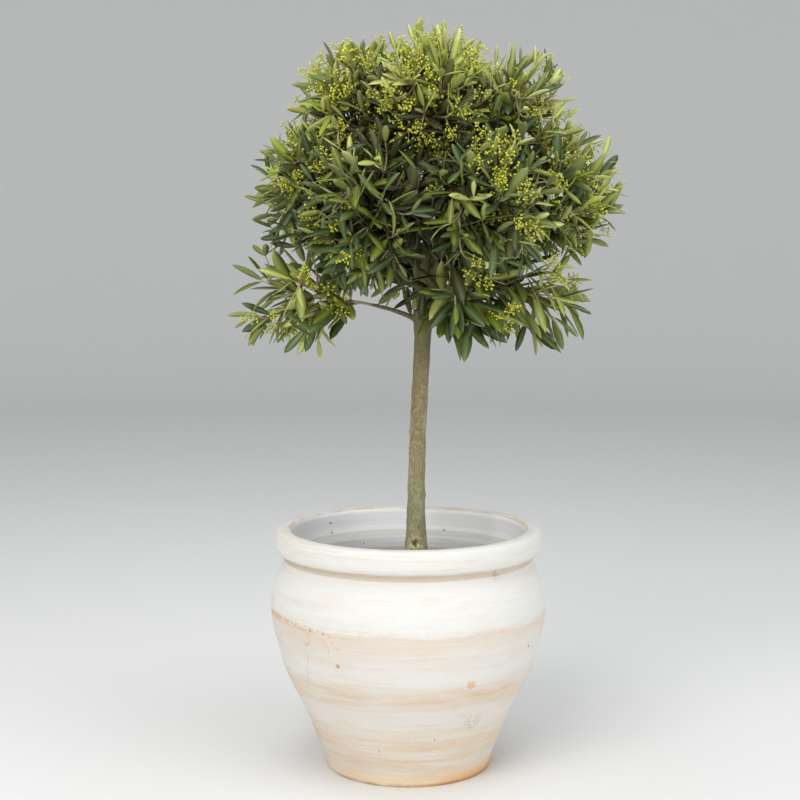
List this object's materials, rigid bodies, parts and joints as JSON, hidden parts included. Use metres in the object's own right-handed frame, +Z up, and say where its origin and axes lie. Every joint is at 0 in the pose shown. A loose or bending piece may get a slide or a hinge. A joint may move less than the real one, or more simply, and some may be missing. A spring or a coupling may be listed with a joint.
{
  "type": "potted olive tree",
  "caption": "Young olive tree trained as a standard, with a ball of narrow leaves and bud sprays on one clear stem, growing in a bellied terracotta pot filled with soil.",
  "frame": {"origin": "middle of the pot's flat underside, on the ground", "axes": "+Z up along the pot's axis, -Y towards the front, +X to the right seen from the front"},
  "size_m": [0.5095, 0.377, 0.9674],
  "materials": {
    "terracotta": "matte",
    "soil": "matte",
    "bark": "matte",
    "leaves": "matte"
  },
  "bodies": {
    "root": {"pot": "terracotta", "soil": "soil", "trunk": "bark", "top_left_bough": "bark", "top_right_bough": "bark", "top_front_bough": "bark", "top_back_bough": "bark", "left_bough": "bark", "right_bough": "bark", "front_left_bough": "bark", "front_right_bough": "bark", "back_left_bough": "bark", "back_right_bough": "bark", "lower_left_bough": "bark", "lower_front_bough": "bark", "lower_right_bough": "bark", "lower_back_bough": "bark", "top_left_foliage": "leaves", "top_right_foliage": "leaves", "top_front_foliage": "leaves", "top_back_foliage": "leaves", "left_foliage": "leaves", "right_foliage": "leaves", "front_left_foliage": "leaves", "front_right_foliage": "leaves", "back_left_foliage": "leaves", "back_right_foliage": "leaves", "lower_left_foliage": "leaves", "lower_front_foliage": "leaves", "lower_right_foliage": "leaves", "lower_back_foliage": "leaves"}
  },
  "joints": []
}
